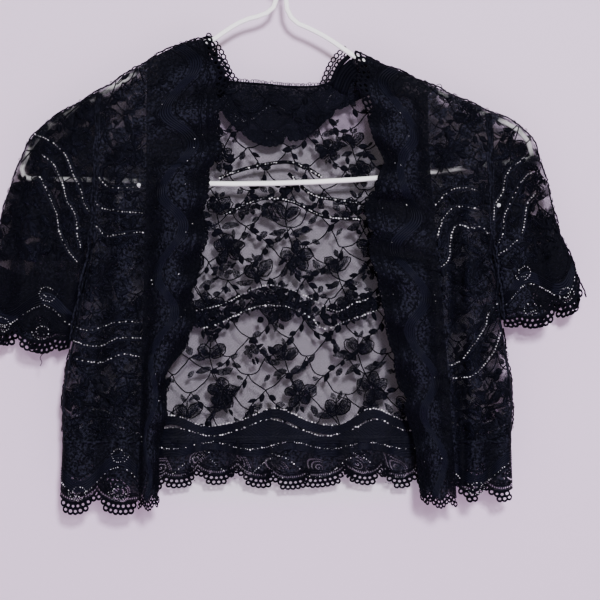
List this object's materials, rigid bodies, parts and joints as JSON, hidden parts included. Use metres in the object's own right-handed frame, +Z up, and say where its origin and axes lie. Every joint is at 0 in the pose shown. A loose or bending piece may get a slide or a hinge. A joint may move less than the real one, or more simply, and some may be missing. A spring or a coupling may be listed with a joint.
{
  "type": "lace cardigan on wire hanger",
  "caption": "Short open lace cardigan with gathered scalloped edging at fronts, neck, cuffs and hem, hanging flat on a coated wire hanger.",
  "frame": {"origin": "inner crown of the hanger's hook, on its wire's underside, where the hanger rests on its rod", "axes": "+Z up, +X to the right of someone who faces the front, -Y out of the front; the cloth hangs flat in the XZ plane"},
  "size_m": [0.4832, 0.0404, 0.4939],
  "materials": {
    "black_lace": "matt black stretch lace with fine net ground, denser motifs and scalloped edges",
    "silver_thread": "fine silver metallic thread in wavy lines",
    "clear_stone": "tiny glued stones",
    "white_coating": "smooth white coating on steel wire"
  },
  "bodies": {
    "root": {"back": "black_lace", "front_left": "black_lace", "front_right": "black_lace", "sleeve_left": "black_lace", "sleeve_right": "black_lace", "sleeve_flounce_left": "black_lace", "sleeve_flounce_right": "black_lace", "hem_flounce_back": "black_lace", "hem_flounce_left": "black_lace", "hem_flounce_right": "black_lace", "band_left": "black_lace", "band_right": "black_lace", "collar_back": "black_lace", "hanger_frame": "white_coating", "hanger_wrap": "white_coating"}
  },
  "joints": []
}
